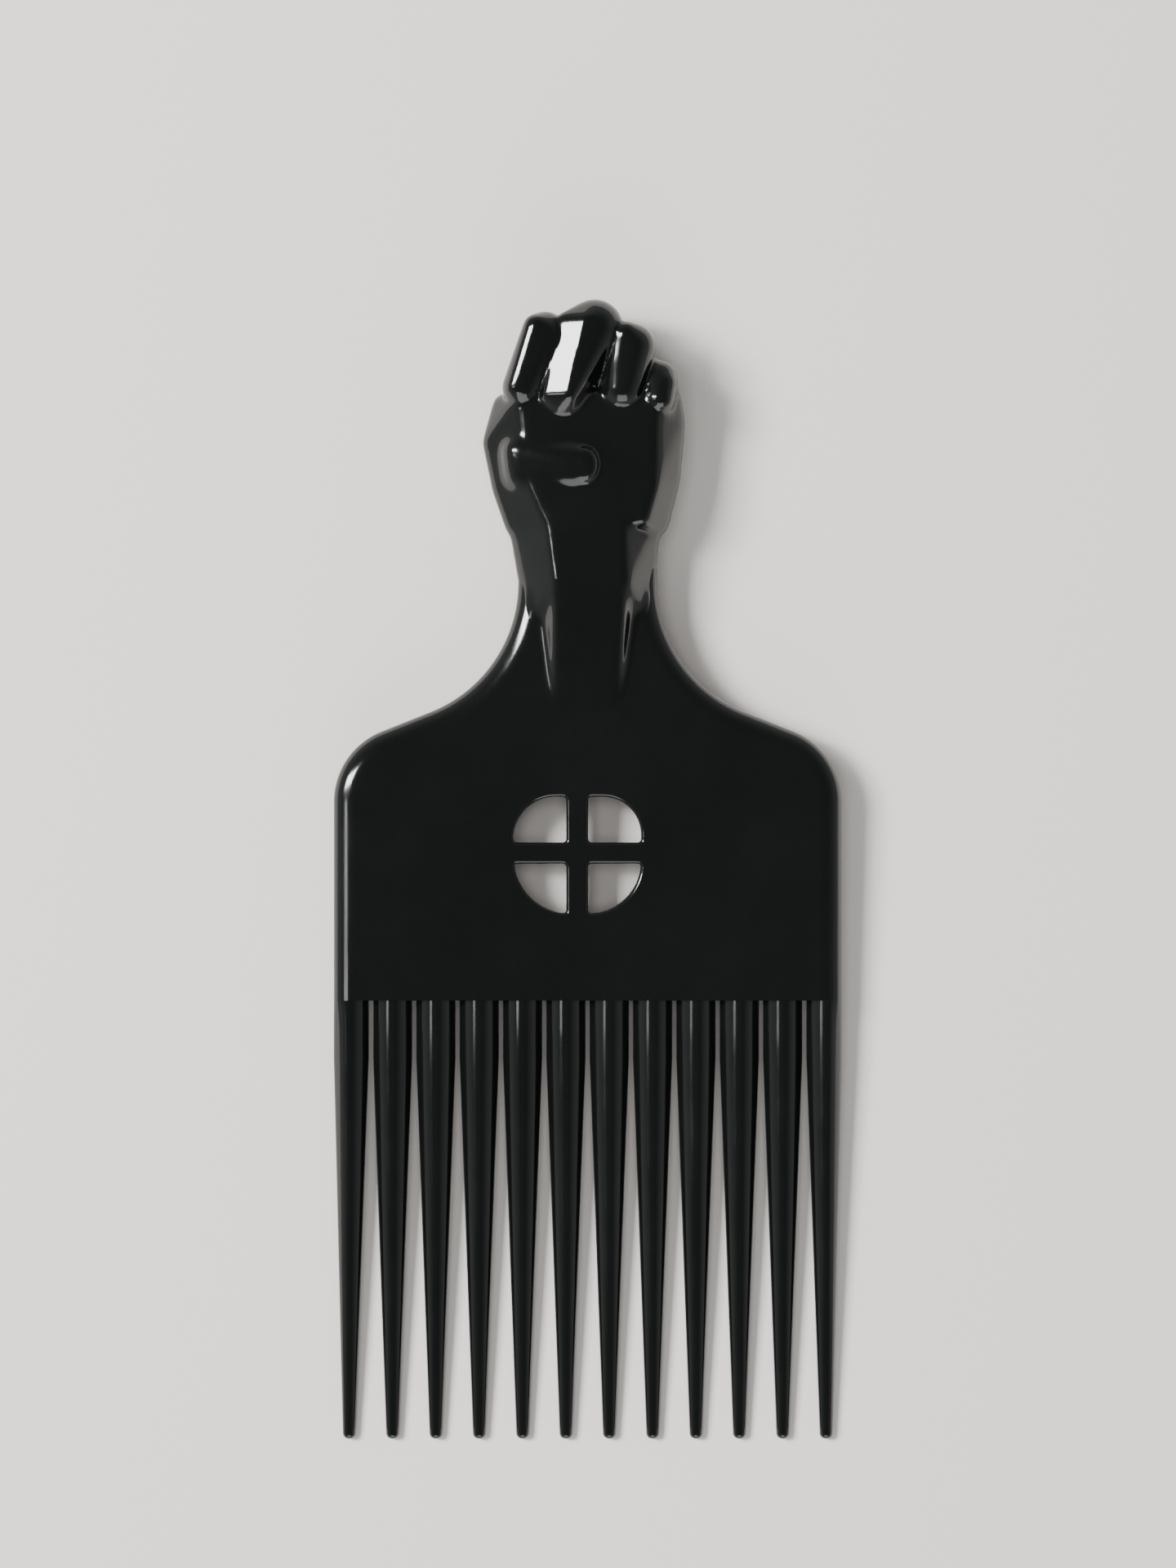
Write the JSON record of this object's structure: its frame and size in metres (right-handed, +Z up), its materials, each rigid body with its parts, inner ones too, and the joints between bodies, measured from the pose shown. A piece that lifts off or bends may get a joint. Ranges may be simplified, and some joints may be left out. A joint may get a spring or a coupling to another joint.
{
  "type": "afro pick",
  "caption": "Flat hair pick with long straight tapered teeth, a round window with crossed bars, and a handle shaped as a raised fist.",
  "frame": {"origin": "on the table under the middle of the pick, which lies on the back of its fist and on its tooth tips", "axes": "+X across the comb to the little finger's side, +Y from the teeth to the fist, +Z up, out of the palm side"},
  "size_m": [0.0738, 0.1654, 0.0172],
  "materials": {
    "black_plastic": "injection-moulded, polished"
  },
  "bodies": {
    "root": {"comb_back": "black_plastic", "neck": "black_plastic", "window_upright": "black_plastic", "window_crossbar": "black_plastic", "neck_rib_front": "black_plastic", "neck_rib_rear": "black_plastic", "wrist": "black_plastic", "hand": "black_plastic", "thumb": "black_plastic", "index_finger": "black_plastic", "middle_finger": "black_plastic", "ring_finger": "black_plastic", "little_finger": "black_plastic", "tooth_01": "black_plastic", "tooth_02": "black_plastic", "tooth_03": "black_plastic", "tooth_04": "black_plastic", "tooth_05": "black_plastic", "tooth_06": "black_plastic", "tooth_07": "black_plastic", "tooth_08": "black_plastic", "tooth_09": "black_plastic", "tooth_10": "black_plastic", "tooth_11": "black_plastic", "tooth_12": "black_plastic"}
  },
  "joints": []
}
